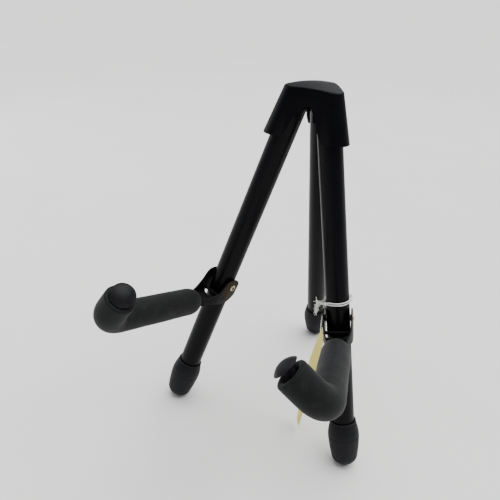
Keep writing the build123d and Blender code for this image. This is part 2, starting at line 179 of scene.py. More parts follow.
class Finish:                           # one material and its nodes
    def __init__(self, name, shader):
        self.material = bpy.data.materials.new(name)
        self.material.use_nodes = True
        self.nodes = self.material.node_tree.nodes
        self.links = self.material.node_tree.links
        self.nodes.clear()
        self.shader = self.nodes.new("ShaderNodeBsdfPrincipled")
        for socket, value in shader.items():
            self.shader.inputs[socket].default_value = value
        output = self.nodes.new("ShaderNodeOutputMaterial")
        self.links.new(self.shader.outputs[0], output.inputs["Surface"])
        self.place = self.make("TexCoord", {}, {}, "Object")

    def make(self, kind, settings, values, out=0):
        node = self.nodes.new("ShaderNode" + kind)
        for key, value in settings.items():
            setattr(node, key, value)
        for key, value in values.items():
            if isinstance(value, Wire):
                self.links.new(value.socket, node.inputs[key])
            else:
                node.inputs[key].default_value = value
        return Wire(self, node.outputs[out])

    def feed(self, **inputs):           # wires into the shader
        names = {"color": "Base Color", "roughness": "Roughness", "metallic": "Metallic", "normal": "Normal"}
        for key, wire in inputs.items():
            self.links.new(wire.socket, self.shader.inputs[names[key]])
        return self.material

    def grain(self, scale, detail=3.0, rough=0.5, place=None):
        values = {"Vector": place or self.place, "Scale": scale, "Detail": detail, "Roughness": rough}
        return self.make("TexNoise", {}, values, "Fac")

    def cells(self, scale):
        return self.make("TexVoronoi", {}, {"Vector": self.place, "Scale": scale}, "Distance")

    def span(self, wire, low, high, toLow=0.0, toHigh=1.0):
        return self.make("MapRange", {"clamp": True}, {0: wire, 1: low, 2: high, 3: toLow, 4: toHigh})

    def mix(self, share, first, second):
        first, second = [(*c, 1) if isinstance(c, tuple) else c for c in (first, second)]
        return self.make("Mix", {"data_type": "RGBA"}, {0: share, 6: first, 7: second}, 2)

    def bump(self, height, distance, strength=1.0, under=None):
        values = {"Height": height, "Distance": distance, "Strength": strength}
        if under is not None:
            values["Normal"] = under
        return self.make("Bump", {}, values)

    def stretched(self, scale, turn=(0, 0, 0)):
        turned = self.make("Mapping", {"vector_type": "TEXTURE"}, {"Vector": self.place, "Rotation": turn})
        return self.make("Mapping", {}, {"Vector": turned, "Scale": scale})

    def height(self):                   # above the floor
        return self.make("SeparateXYZ", {}, {0: self.place}, "Z")


def legTurn(azimuth, splay):            # turns z to run up a leg
    return Vector((-sin(radians(azimuth)) * sin(radians(splay)), cos(radians(azimuth)) * sin(radians(splay)),
                   cos(radians(splay)))).to_track_quat("Z", "Y").to_euler()


def tubePaint(name, azimuth, splay):    # satin black coat on a leg's tube
    look = {"dark": (0.0009, 0.0009, 0.0016), "light": (0.0028, 0.0028, 0.0042), "dust": (0.05, 0.05, 0.05)}
    f = Finish(name, {"Specular IOR Level": 0.09})
    along = f.stretched((900, 900, 26), legTurn(azimuth, splay))
    drawn = f.grain(1.0, 4, 0.6, along)
    cloud = f.grain(34, 4, 0.55)
    peel = f.grain(900, 2, 0.5)
    speck = f.span(f.cells(420), 0.05, 0.11, 1, 0) * f.span(f.grain(60, 2), 0.53, 0.6)
    color = f.mix(cloud, look["dark"], look["light"])
    color = f.mix(speck * 0.5, color, look["dust"])
    roughness = f.span(cloud, 0.3, 0.7, 0.29, 0.38) + f.span(drawn, 0.45, 0.75, 0, 0.07) + speck * 0.3
    relief = f.bump(peel, 0.00004, 0.5, f.bump(drawn, 0.00002, 0.35))
    return f.feed(color=color, roughness=roughness, normal=relief)


def hoodPlastic():
    look = {"dark": (0.0011, 0.0011, 0.0019), "light": (0.0028, 0.0028, 0.0042), "dust": (0.06, 0.06, 0.06)}
    f = Finish("hoodPlastic", {"Specular IOR Level": 0.07})
    spark = f.grain(1500, 3, 0.6)
    cloud = f.grain(26, 4, 0.6)
    rub = f.span(f.grain(1.0, 3, 0.5, f.stretched((55, 55, 320))), 0.6, 0.75)
    speck = f.span(f.cells(520), 0.04, 0.09, 1, 0) * f.span(f.grain(75, 2), 0.52, 0.6)
    top = f.span(f.height(), 0.4005, 0.4055)    # dust lies on the crown
    color = f.mix(cloud, look["dark"], look["light"])
    color = f.mix(speck * (0.25 + top * 0.6), color, look["dust"])
    roughness = f.span(cloud, 0.3, 0.7, 0.33, 0.42) + rub * 0.08 + speck * 0.2
    return f.feed(color=color, roughness=roughness, normal=f.bump(spark, 0.00005, 0.6))


def bootRubber():
    look = {"dark": (0.004, 0.004, 0.0058), "light": (0.0085, 0.0085, 0.011), "worn": (0.045, 0.044, 0.043)}
    f = Finish("bootRubber", {"Specular IOR Level": 0.15})
    cloud = f.grain(60, 5, 0.6)
    pores = f.grain(1100, 4, 0.65)
    low = f.span(f.height(), 0.003, 0.02, 1, 0)    # dirt rubbed in near the floor
    scuff = f.span(f.grain(1.0, 4, 0.6, f.stretched((240, 240, 60))), 0.56, 0.7)
    ringLook = {"Vector": f.place, "Scale": 260.0, "Distortion": 1.2, "Detail": 2.0, "Detail Scale": 40.0}
    rings = f.make("TexWave", {"bands_direction": "Z"}, ringLook, "Fac")
    speck = f.span(f.cells(380), 0.05, 0.1, 1, 0) * f.span(f.grain(50, 2), 0.52, 0.6)
    color = f.mix(cloud, look["dark"], look["light"])
    color = f.mix(f.span(low * scuff + speck * 0.4, 0, 1) * 0.8, color, look["worn"])
    roughness = f.span(cloud, 0.3, 0.7, 0.5, 0.62) + scuff * 0.1
    relief = f.bump(pores, 0.00008, 0.6, f.bump(rings, 0.00003, 0.25))
    return f.feed(color=color, roughness=roughness, normal=relief)


def foamSkin():
    look = {"dark": (0.0048, 0.0051, 0.0055), "light": (0.0102, 0.0106, 0.0112),
            "rubbed": (0.023, 0.0235, 0.025), "pit": (0.004, 0.004, 0.005)}
    f = Finish("foamSkin", {"Specular IOR Level": 0.12, "Sheen Weight": 0.06, "Sheen Roughness": 0.4,
                            "Sheen Tint": (0.8, 0.8, 0.85, 1)})
    cloud = f.grain(45, 5, 0.6)
    cell = f.cells(1400)
    big = f.cells(620)
    pores = f.span(cell, 0.0, 0.6) * 0.6 + f.span(big, 0, 0.6) * 0.4
    # painted shade: the bottoms of some of the bump's pores are painted darker, standing in for shade inside
    # them
    pit = f.span(big, 0.03, 0.16, 1, 0) * f.span(f.grain(130, 2), 0.5, 0.62)
    handled = f.span(f.grain(90, 4, 0.6), 0.55, 0.75)
    color = f.mix(cloud, look["dark"], look["light"])
    color = f.mix(handled * 0.45, color, look["rubbed"])
    # painted shade in the pores
    color = f.mix(pit * 0.7, color, look["pit"])
    roughness = f.span(cloud, 0.3, 0.7, 0.62, 0.75) - handled * 0.08
    relief = f.bump(pores, 0.00012, 0.55, f.bump(f.grain(160, 3, 0.5), 0.0004, 0.25))
    return f.feed(color=color, roughness=roughness, normal=relief)


def capPlastic():
    look = {"dark": (0.0045, 0.0045, 0.0058), "light": (0.0095, 0.0095, 0.0115), "scuff": (0.06, 0.06, 0.062)}
    f = Finish("capPlastic", {"Specular IOR Level": 0.14})
    cloud = f.grain(90, 4, 0.6)
    spark = f.grain(1700, 3, 0.6)
    scuff = f.span(f.grain(1.0, 3, 0.5, f.stretched((700, 160, 160), (0.4, 0.2, 0.7))), 0.6, 0.74)
    color = f.mix(cloud, look["dark"], look["light"])
    color = f.mix(scuff * 0.1, color, look["scuff"])
    roughness = f.span(cloud, 0.3, 0.7, 0.42, 0.52) + scuff * 0.1
    return f.feed(color=color, roughness=roughness, normal=f.bump(spark, 0.00006, 0.6))


def forkCoat(name, rivet, way):         # black coat, worn to a bronze tint outside its ears
    look = {"black": (0.0026, 0.0026, 0.0032), "grey": (0.017, 0.017, 0.0185),
            "bronze": (0.0245, 0.0165, 0.0042), "steel": (0.06, 0.05, 0.03)}
    f = Finish(name, {"Specular IOR Level": 0.035})
    out = f.make("VectorMath", {"operation": "SUBTRACT"}, {0: f.place, 1: rivet})
    away = f.make("VectorMath", {"operation": "LENGTH"}, {0: out}, "Value")
    aside = f.make("VectorMath", {"operation": "DOT_PRODUCT"}, {0: out, 1: way}, "Value")
    outside = f.span(f.make("Math", {"operation": "ABSOLUTE"}, {0: aside}), 0.0150, 0.0155)
    cloud = f.grain(110, 4, 0.6)
    scratch = f.span(f.grain(1.0, 4, 0.6, f.stretched((1100, 90, 300), (0.3, 0.5, 0.2))), 0.62, 0.72)
    worn = f.span(away + (cloud - 0.5) * 0.004, 0.0208, 0.0232, 1, 0) * outside
    color = f.mix(cloud, look["black"], look["grey"])
    color = f.mix(worn * 0.92, color, look["bronze"])
    color = f.mix(scratch * worn * 0.35, color, look["steel"])
    roughness = f.span(cloud, 0.3, 0.7, 0.36, 0.48) + scratch * 0.08
    relief = f.bump(f.grain(1000, 2), 0.00004, 0.4, f.bump(scratch, 0.00003, 0.3))
    return f.feed(color=color, roughness=roughness, normal=relief)


def platedSteel():                      # zinc plate with a little tarnish
    look = {"dull": (0.46, 0.46, 0.45), "bright": (0.62, 0.61, 0.59), "grime": (0.06, 0.05, 0.04)}
    f = Finish("platedSteel", {"Metallic": 1.0})
    cloud = f.grain(260, 4, 0.6)
    marks = f.grain(1.0, 3, 0.6, f.stretched((2600, 500, 2600), (0.4, 0.3, 0.9)))
    dirt = f.span(f.grain(480, 3, 0.6), 0.5, 0.68)
    color = f.mix(cloud, look["dull"], look["bright"])
    color = f.mix(dirt * 0.4, color, look["grime"])
    roughness = f.span(marks, 0.3, 0.7, 0.24, 0.4) + dirt * 0.15
    return f.feed(color=color, roughness=roughness, normal=f.bump(marks, 0.00003, 0.4))


def rivetMetal(name, centre, way):      # pale brass, with painted shade down the bore
    look = {"dull": (0.48, 0.4, 0.28), "bright": (0.7, 0.62, 0.48), "grime": (0.12, 0.095, 0.06),
            "bore": (0.006, 0.005, 0.004)}
    f = Finish(name, {})
    out = f.make("VectorMath", {"operation": "SUBTRACT"}, {0: f.place, 1: centre})
    ring = f.make("VectorMath", {"operation": "CROSS_PRODUCT"}, {0: out, 1: way})
    apart = f.make("VectorMath", {"operation": "LENGTH"}, {0: ring}, "Value")
    # painted shade: inside the bore the brass is painted near black and not metallic, standing in for the
    # shade down the hollow
    bore = f.span(apart, 0.0020, 0.0024, 1, 0)
    cloud = f.grain(260, 4, 0.6)
    dirt = f.span(f.grain(700, 3, 0.6), 0.5, 0.64)
    color = f.mix(cloud, look["dull"], look["bright"])
    color = f.mix(dirt * 0.55, color, look["grime"])
    # painted shade down the bore
    color = f.mix(bore * 0.96, color, look["bore"])
    roughness = f.span(cloud, 0.3, 0.7, 0.28, 0.42) + bore * 0.4
    return f.feed(color=color, roughness=roughness, metallic=1 - bore, normal=f.bump(cloud, 0.00003, 0.4))


def nylonWhite():
    look = {"dark": (0.6, 0.58, 0.53), "light": (0.78, 0.77, 0.73)}
    f = Finish("nylonWhite", {"Specular IOR Level": 0.5, "Subsurface Weight": 0.15,
                              "Subsurface Scale": 0.001})
    cloud = f.grain(300, 4, 0.6)
    color = f.mix(cloud, look["dark"], look["light"])
    roughness = f.span(cloud, 0.3, 0.7, 0.35, 0.5)
    return f.feed(color=color, roughness=roughness, normal=f.bump(cloud, 0.00004, 0.4))


def cottonString():
    look = {"dark": (0.8, 0.795, 0.77), "light": (0.93, 0.925, 0.9), "gap": (0.52, 0.51, 0.48)}
    f = Finish("cottonString", {"Specular IOR Level": 0.2, "Sheen Weight": 0.5, "Sheen Roughness": 0.6})
    cloud = f.grain(220, 4, 0.6)
    fibre = f.grain(3800, 4, 0.7)
    color = f.mix(cloud, look["dark"], look["light"])
    # painted shade: where the fibre bump is low, between the fibres, the colour is painted darker (the gap
    # colour), standing in for shade
    color = f.mix(f.span(fibre, 0.3, 0.6, 0.25, 0), color, look["gap"])
    roughness = f.span(fibre, 0.3, 0.7, 0.8, 0.95)
    return f.feed(color=color, roughness=roughness, normal=f.bump(fibre, 0.0001, 0.8))


def manilaCard():
    look = {"dark": (0.83, 0.7, 0.165), "light": (0.9, 0.79, 0.235), "fibre": (0.94, 0.86, 0.36),
            "fleck": (0.36, 0.28, 0.16), "soil": (0.45, 0.4, 0.3)}
    f = Finish("manilaCard", {"Specular IOR Level": 0.2})
    cloud = f.grain(70, 5, 0.65)
    fibre = f.grain(1.0, 5, 0.7, f.stretched((2400, 2400, 500), (0.2, 0.1, 0.3)))
    fleck = f.span(f.cells(900), 0.06, 0.12, 1, 0) * f.span(f.grain(150, 2), 0.5, 0.6)
    low = f.span(f.height(), 0.005, 0.06, 1, 0)
    color = f.mix(cloud, look["dark"], look["light"])
    color = f.mix(f.span(fibre, 0.45, 0.7) * 0.4, color, look["fibre"])
    color = f.mix(fleck * 0.5, color, look["fleck"])
    color = f.mix(low * f.span(cloud, 0.45, 0.7) * 0.35, color, look["soil"])
    roughness = f.span(fibre, 0.3, 0.7, 0.68, 0.85)
    return f.feed(color=color, roughness=roughness, normal=f.bump(fibre, 0.00006, 0.5))


def sheetCoat():                        # black coat on the hidden frame, its hinge pins and the stop pins
    look = {"dark": (0.0018, 0.0018, 0.0022), "light": (0.0045, 0.0045, 0.005), "chip": (0.08, 0.078, 0.075)}
    f = Finish("sheetCoat", {"Specular IOR Level": 0.05})
    cloud = f.grain(120, 4, 0.6)
    chip = f.span(f.grain(420, 3, 0.6), 0.66, 0.7)
    color = f.mix(cloud, look["dark"], look["light"])
    color = f.mix(chip * 0.25, color, look["chip"])
    roughness = f.span(cloud, 0.3, 0.7, 0.35, 0.5) + chip * 0.1
    return f.feed(color=color, roughness=roughness, normal=f.bump(f.grain(900, 2), 0.00005, 0.5))


def floorPaint():
    look = {"dark": (0.79, 0.79, 0.785), "light": (0.87, 0.87, 0.865), "fine": (0.72, 0.72, 0.715)}
    f = Finish("floorPaint", {"Specular IOR Level": 0.15})
    cloud = f.grain(3.2, 5, 0.6)
    fine = f.grain(260, 3, 0.6)
    color = f.mix(cloud, look["dark"], look["light"])
    color = f.mix(f.span(fine, 0.4, 0.7) * 0.25, color, look["fine"])
    roughness = f.span(cloud, 0.3, 0.7, 0.75, 0.9)
    return f.feed(color=color, roughness=roughness, normal=f.bump(fine, 0.0003, 0.25))


def armPlace(side):                     # the arm's start at rest, and its ways along, up and along the rivet
    fold = joints[side + "_arm_fold"]
    swivel = joints[side + "_arm_swivel"]
    along = Vector(swivel["axis"]) * (1 if side == "left" else -1)
    rivetWay = Vector(fold["axis"])
    return Vector(swivel["pos_m"]), along, rivetWay.cross(along), rivetWay


legFacts = {"left": (-55.8, 17.2), "right": (55.8, 17.2), "rear": (180.0, 18.4)}    # azimuth and splay
finishes = {
    "hood": hoodPlastic(), "boot": bootRubber(), "foam": foamSkin(), "cap": capPlastic(),
    "nylon": nylonWhite(), "string": cottonString(), "card": manilaCard(), "sheet": sheetCoat(),
    "floor": floorPaint(), "plated": platedSteel(),
}
for legName, (azimuth, splay) in legFacts.items():
    finishes[legName + "Tube"] = tubePaint(legName + "TubePaint", azimuth, splay)
for side in ("left", "right"):
    fold = joints[side + "_arm_fold"]
    finishes[side + "Fork"] = forkCoat(side + "ForkCoat", tuple(fold["pos_m"]), tuple(fold["axis"]))
    finishes[side + "Rivet"] = rivetMetal(side + "RivetMetal", tuple(fold["pos_m"]), tuple(fold["axis"]))
print("finishes made")


nodeFinishes = {                        # by how a node's name ends
    "head_shell": "hood", "hinge_frame": "sheet", "stop_pin": "sheet", "hinge_pin": "sheet",
    "washer": "nylon", "spacers": "cap", "arm_tube": "cap", "leg_cap": "cap", "insert": "cap",
    "tip_cap": "cap", "foot": "boot", "sleeve": "foam", "tie_string": "string", "paper_tag": "card",
}
sidedFinishes = {"leg_tube": "Tube", "arm_fork": "Fork", "rivet": "Rivet"}


def cadFinish(node):                    # which finish a carried-over node wears
    for ending, finish in nodeFinishes.items():
        if node.endswith(ending):
            return finish
    for ending, word in sidedFinishes.items():
        if node.endswith(ending):
            return node.split("_")[0] + word
    return "plated"


for nodeName, node in frame["nodes"].items():
    node.data.materials.clear()
    node.data.materials.append(finishes[cadFinish(nodeName)])
print("carried nodes dressed")


def giveFinish(piece, finish, body, node):
    piece.data.materials.clear()
    piece.data.materials.append(finishes[finish])
    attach(piece, body)
    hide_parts(node)


# pressed and moulded pieces whose real edges are rounded over
pressing = {"merge": 0.000002, "flat": 0.5, "rounds": 3, "smooth": 32}
softened = {
    "head_shell": {"name": "hoodMoulding", "width": 0.0007, "angle": 38, "finish": "hood", "slot": "hood",
                   "body": "head"},
    "left_arm_fork": {"name": "leftForkPressing", "width": 0.00028, "angle": 35, "finish": "leftFork",
                      "slot": "fork_paint", "body": "left_fork"},
    "right_arm_fork": {"name": "rightForkPressing", "width": 0.00028, "angle": 35, "finish": "rightFork",
                       "slot": "fork_paint", "body": "right_fork"},
}


def roundedCopy(node, facts):
    source = frame["nodes"][node]
    piece = bpy.data.objects.new(facts["name"], source.data.copy())
    bpy.context.scene.collection.objects.link(piece)
    onlySelect(piece)
    bpy.ops.object.mode_set(mode="EDIT")
    bpy.ops.mesh.select_all(action="SELECT")
    bpy.ops.mesh.customdata_custom_splitnormals_clear()
    bpy.ops.mesh.remove_doubles(threshold=pressing["merge"])
    bpy.ops.mesh.dissolve_limited(angle_limit=radians(pressing["flat"]))
    bpy.ops.object.mode_set(mode="OBJECT")
    bevel = piece.modifiers.new("edges", "BEVEL")
    bevel.width = facts["width"]
    bevel.segments = pressing["rounds"]
    bevel.limit_method = "ANGLE"
    bevel.angle_limit = radians(facts["angle"])
    bevel.use_clamp_overlap = True
    applyAll(piece)
    bpy.ops.object.shade_smooth_by_angle(angle=radians(pressing["smooth"]))
    giveFinish(piece, facts["finish"], facts["body"], node)


for nodeName, facts in softened.items():
    roundedCopy(nodeName, facts)
print("rounded pressings made")


# rubber boots
boot = {
    "count": 72, "dome": 16.1, "flat": 0.4, "turnOver": -22.5, "soleSteps": 10,
    "wall": [(15.6, 15.0), (16.35, 20.0), (17.0, 25.5), (17.5, 31.0), (17.82, 35.6), (17.9, 38.4),
             (17.64, 39.2), (17.62, 39.9), (17.78, 40.7), (17.5, 43.6), (16.85, 47.0), (16.0, 50.6),
             (15.3, 53.2), (14.85, 54.3), (14.45, 54.8), (14.4, 55.3), (14.75, 55.7), (14.9, 56.3),
             (14.82, 57.0), (14.45, 57.5), (13.85, 57.55), (13.3, 57.2), (13.06, 56.6), (13.04, 50.0)],
    "sag": 0.00012, "sagRadius": 0.0157, "sagScale": 45,
}


def makeBoot(name):
    azimuth, splay = legFacts[name]
    pin = joints[name + "_leg_fold"]
    length = pin["pos_m"][2] / cos(radians(splay))
    up = Vector((-sin(radians(azimuth)) * sin(radians(splay)), cos(radians(azimuth)) * sin(radians(splay)),
                 cos(radians(splay))))
    centre = (boot["dome"] - boot["flat"]) / cos(radians(splay))
    rings = []
    for step in range(1, boot["soleSteps"] + 1):    # the round sole, up to where it turns into the wall
        angle = radians(-90 + (boot["turnOver"] + 90) * step / boot["soleSteps"])
        rings.append((boot["dome"] * cos(angle), centre + boot["dome"] * sin(angle)))
    piece = turnedPiece(name + "RubberBoot", rings + boot["wall"], boot["count"])
    for vert in piece.data.vertices:    # moulded rubber is never quite true
        wave = noise.noise(vert.co * boot["sagScale"] + Vector((azimuth, 0, 0)))
        vert.co += Vector((vert.co.x, vert.co.y, 0)) / boot["sagRadius"] * wave * boot["sag"]
    settle(piece, placeMatrix(Vector(pin["pos_m"]) - up * length, Vector(pin["axis"]).cross(up), up))
    bpy.ops.object.mode_set(mode="EDIT")
    bpy.ops.mesh.select_all(action="SELECT")
    bpy.ops.mesh.bisect(plane_co=(0, 0, 0), plane_no=(0, 0, 1), use_fill=True, clear_inner=True)
    bpy.ops.object.mode_set(mode="OBJECT")
    finishMesh(piece, 50)
    giveFinish(piece, "boot", name + "_leg", name + "_foot")


for legName in legFacts:
    makeBoot(legName)
print("boots made")


# rivets, flared at both ends
rivet = {
    "half": 16.0, "count": 36,
    "end": [(0.4, -4.0), (1.7, -4.0), (1.9, -3.6), (1.92, 0.3), (2.05, 0.85), (2.35, 1.15), (2.8, 1.25),
            (3.25, 1.05), (3.62, 0.6), (3.72, 0.3), (3.6, 0.08), (2.5, 0.05)],
}


def makeRivet(side):
    far = [(r, rivet["half"] + h) for r, h in reversed(rivet["end"])]
    near = [(r, -rivet["half"] - h) for r, h in rivet["end"]]
    piece = turnedPiece(side + "FlaredRivet", near + far, rivet["count"])
    finishMesh(piece, 40)
    _, along, _, rivetWay = armPlace(side)
    settle(piece, placeMatrix(Vector(joints[side + "_arm_fold"]["pos_m"]), along, rivetWay))
    giveFinish(piece, side + "Rivet", side + "_fork", side + "_arm_rivet")


for side in ("left", "right"):
    makeRivet(side)
print("rivets made")


# foam sleeves, bent up at the tip
sleeve = {
    "start": 0.0412, "reach": 0.1735, "bend": 82.0, "bendRadius": 0.021, "tip": 0.0406, "lip": 0.0025,
    "turn": {"left": 20.4, "right": 40.4}, "short": {"left": 0.0035, "right": 0.0},
    "count": 64, "straightSteps": 34, "bendSteps": 24, "tipSteps": 7,
    "heel": [(8.15, 5.0), (8.15, 0.5), (8.5, 0.05), (9.3, 0.0), (10.3, 0.6), (11.3, 1.7), (12.4, 3.1),
             (13.3, 4.8), (14.0, 6.8), (14.5, 9.0), (14.9, 11.5), (15.1, 14.0)],
    "mouth": [(15.0, 0.9), (14.6, 1.7), (13.5, 2.3), (12.5, 2.5), (11.0, 2.4), (9.9, 1.9), (9.2, 0.9),
              (8.6, -0.8), (8.15, -6.0)],
    "uneven": ((38, 0.00022), (140, 0.00007)),
    "seed": {"left": Vector((3.1, 0.4, 0)), "right": Vector((8.7, 5.2, 1))},
    "folds": ((0.2, 0.0005), (0.42, 0.0008), (0.63, 0.00065), (0.84, 0.0004)), "foldWidth": 0.045,
    "inside": 0.0065, "foldReach": 0.016, "bulge": 0.0003,
}


def tipWays(side):                      # the arm's start, its way, and the way its tip stands
    start, along, up, rivetWay = armPlace(side)
    lean = radians(sleeve["turn"][side]) * (-1 if side == "left" else 1)
    return start, along, up * cos(lean) + rivetWay * sin(lean)


def makeSleeve(side):
    bend, turnRadius = radians(sleeve["bend"]), sleeve["bendRadius"]
    bendStart = sleeve["reach"] - turnRadius * sin(bend / 2) / cos(bend / 2)
    bendEnd = Vector((turnRadius * (1 - cos(bend)), 0, bendStart + turnRadius * sin(bend)))
    way = Vector((sin(bend), 0, cos(bend)))
    heel = [(r / 1000, sleeve["start"] + h / 1000) for r, h in sleeve["heel"]]
    piece = startRing(side + "FoamSleeve", heel[0][0], sleeve["count"], heel[0][1])
    radius, height = growRings(heel[1:], *heel[0])
    steps = sleeve["straightSteps"]
    straight = [(radius, height + (bendStart - height) * (i + 1) / steps) for i in range(steps)]
    growRings(straight, radius, height)
    bpy.ops.mesh.spin(steps=sleeve["bendSteps"], angle=-bend, center=(turnRadius, 0, bendStart),
                      axis=(0, 1, 0))
    tipStart = turnRadius * sin(bend / 2) / cos(bend / 2)
    tipRun = sleeve["tip"] - tipStart - sleeve["lip"] - sleeve["short"][side]
    for _ in range(sleeve["tipSteps"]):
        bpy.ops.mesh.extrude_region_move(TRANSFORM_OT_translate={"value": way * tipRun / sleeve["tipSteps"]})
    place, before = bendEnd + way * tipRun, 0.0
    for r, h in sleeve["mouth"]:
        bpy.ops.mesh.extrude_region_move(TRANSFORM_OT_translate={"value": way * (h - before) / 1000})
        share = r / 1000 / radius
        bpy.ops.transform.resize(value=(share, share, share), center_override=place + way * h / 1000)
        radius, before = r / 1000, h
    closeRing()
    bpy.ops.object.mode_set(mode="OBJECT")
    finishMesh(piece, 60)
    bpy.ops.object.mode_set(mode="EDIT")
    bpy.ops.mesh.select_all(action="DESELECT")
    bpy.ops.mesh.select_non_manifold()  # the bore's open end by the fork
    closeRing()
    bpy.ops.object.mode_set(mode="OBJECT")
    hub = Vector((turnRadius, 0, bendStart))
    normals = [vert.normal.copy() for vert in piece.data.vertices]
    for vert, normal in zip(piece.data.vertices, normals):
        spot = vert.co + sleeve["seed"][side]
        give = sum(noise.noise(spot * scale) * depth for scale, depth in sleeve["uneven"])
        fromHub = vert.co - hub
        share = atan2(fromHub.z, -fromHub.x) / bend
        outward = Vector((fromHub.x, 0, fromHub.z)).length
        inner = max(0.0, 1 - (outward - sleeve["inside"]) / sleeve["foldReach"])
        for at, depth in sleeve["folds"]:
            give -= depth * inner ** 1.5 * hump((share - at) / sleeve["foldWidth"])
        if inner > 0 and 0 < share < 1:
            give += sleeve["bulge"] * inner     # the foam bulges between its folds
        vert.co += normal * give
    smoother = piece.modifiers.new("skin", "SUBSURF")
    smoother.levels = smoother.render_levels = 1
    applyAll(piece)
    start, along, tip = tipWays(side)
    settle(piece, placeMatrix(start, tip, along))
    bpy.ops.object.shade_smooth_by_angle(angle=radians(60))
    giveFinish(piece, "foam", side + "_arm", side + "_foam_sleeve")


for side in ("left", "right"):
    makeSleeve(side)
print("sleeves made")


# end caps, worked loose
cap = {
    "rings": [(2.4, -10.5), (3.2, -10.3), (3.7, -9.7), (4.3, -6.0), (5.1, -2.2), (5.3, -1.1), (5.9, -0.3),
              (6.8, 0.0), (10.9, 0.0), (11.6, 0.08), (11.92, 0.4), (12.0, 0.85)],
    "dome": 5.8, "brim": 0.85, "radius": 12.0, "count": 64, "crownSteps": 12, "pole": 0.06,
    "gateAt": {"left": 90.0, "right": 245.0}, "gate": 0.001, "gateOut": 0.01175, "gateHeight": 0.0011,
    "seat": {"left": (0.0007, -17.0, -9.0, 0.0), "right": (0.0054, 4.1, -1.6, -0.0011)},
}


def makeCap(side):
    rise = cap["dome"] - cap["brim"]
    ball = (cap["radius"] ** 2 + rise ** 2) / (2 * rise)
    crown = []
    for step in range(1, cap["crownSteps"]):
        r = cap["radius"] * (1 - step / cap["crownSteps"]) + cap["pole"]
        crown.append((r, cap["dome"] - ball + sqrt(ball ** 2 - r ** 2)))
    piece = turnedPiece(side + "TipCap", cap["rings"] + crown, cap["count"])
    finishMesh(piece, 40)
    at = radians(cap["gateAt"][side])   # the moulding's gate, left on the rim
    spot = (cap["gateOut"] * cos(at), cap["gateOut"] * sin(at), cap["gateHeight"])
    clearSelection()
    bpy.ops.mesh.primitive_uv_sphere_add(segments=16, ring_count=10, radius=cap["gate"], location=spot)
    bpy.context.object.scale = (1.0, 1.0, 0.8)
    bpy.ops.object.transform_apply(location=True, rotation=True, scale=True)
    piece.select_set(True)
    bpy.context.view_layer.objects.active = piece
    bpy.ops.object.join()
    start, along, tip = tipWays(side)
    bend = radians(sleeve["bend"])
    way = along * cos(bend) + tip * sin(bend)
    proud, tiltX, tiltY, aside = cap["seat"][side]      # metres, degrees, degrees, metres
    across = along.cross(tip).normalized()
    seat = start + along * sleeve["reach"] + way * (sleeve["tip"] + proud) + across * aside
    tilt = Matrix.Rotation(radians(tiltX), 4, "X") @ Matrix.Rotation(radians(tiltY), 4, "Y")
    settle(piece, placeMatrix(seat, across, way) @ tilt)
    bpy.ops.object.shade_smooth_by_angle(angle=radians(40))
    giveFinish(piece, "cap", side + "_arm", side + "_tip_cap")


for side in ("left", "right"):
    makeCap(side)
print("caps made")


# string, tied twice round the right leg
string = {
    "gap": 0.0004, "plyHalf": 0.27, "plyOut": 0.24,
    "wrap": {"thick": 0.00142, "plies": 3, "pitch": 0.0042}, "turns": (0.0021, -0.00015), "turnSteps": 22,
    "ring": 0.0139, "clear": 0.0002, "sides": 49.0, "wobble": 0.00012,
    "slack": 0.0022, "rise": 0.0036, "slackAt": 1.0, "slackSpread": 0.62,
    "knot": (-0.0127, -0.0162, -0.0024), "startUp": 0.0006, "backUp": (0.0004, -0.0008),
    "loopSteps": 18, "loops": ((0.0024, (0.5, 0.3)), (0.0019, (1.7, 1.1))), "loopDrop": 0.001,
    "loop": {"thick": 0.0015, "plies": 3, "pitch": 0.004},
    "hang": {"thick": 0.0014, "plies": 2, "pitch": 0.0036},
    "hangFrom": ((-0.0128, -0.0062, -0.0004), (-0.0152, -0.0060, -0.0035), (-0.0176, -0.0055, -0.0115)),
    "hangTo": ((0.0034, 0.020), (0.0030, 0.006), (0.0024, 0.0006)), "hangPast": 0.0032,
    "stop": {"thick": 0.001, "plies": 2, "pitch": 0.003}, "stopLoop": (0.0013, (1.2, 0.4)),
    "tail": {"thick": 0.00135, "plies": 3, "pitch": 0.0046},
    "tails": (((-0.6, -1.3, -10.5), 0.0112, 34), ((-2.4, -0.6, -10.0), 0.0098, 30),
              ((-4.8, 3.3, 2.8), 0.0058, 8), ((-0.4, -1.6, 5.6), 0.0034, 14),
              ((2.2, -1.0, 4.6), 0.0036, 12), ((-3.5, -2.5, -2.5), 0.0035, 12)),
    "fibreReach": (0.0016, 0.0034), "fibreThick": (0.00025, 0.0005), "spread": 0.5, "fibreDrop": 0.0005,
}
loopCentre = Vector(joints["tag_turn"]["pos_m"])
legUp = -Vector(joints["tag_turn"]["axis"])
legSide = Vector(joints["right_leg_fold"]["axis"])
legOut = legSide.cross(legUp)


def onLeg(x, y, z):                     # outward, around and up from the middle of the string's turns
    return loopCentre + legOut * x + legSide * y + legUp * z


def smoothLine(points):                 # the points of a smooth line along a route
    curve = bpy.data.curves.new("route", "CURVE")
    curve.dimensions = "3D"
    curve.resolution_u = 8
    spline = curve.splines.new("NURBS")
    spline.points.add(len(points) - 1)
    for point, place in zip(spline.points, points):
        point.co = (*place, 1)
    spline.order_u = 3
    spline.use_endpoint_u = True
    carrier = bpy.data.objects.new("route", curve)
    bpy.context.scene.collection.objects.link(carrier)
    mesh = bpy.data.meshes.new_from_object(carrier)
    line = [vert.co.copy() for vert in mesh.vertices]
    bpy.data.objects.remove(carrier)
    bpy.data.curves.remove(curve)
    bpy.data.meshes.remove(mesh)
    return line


def evenly(line, gap):                  # the same line with its points a gap apart
    out, need = [line[0]], gap
    for a, b in zip(line, line[1:]):
        run = (b - a).length
        walked = need
        while walked <= run:
            out.append(a.lerp(b, walked / run))
            walked += gap
        need = walked - run
    return out


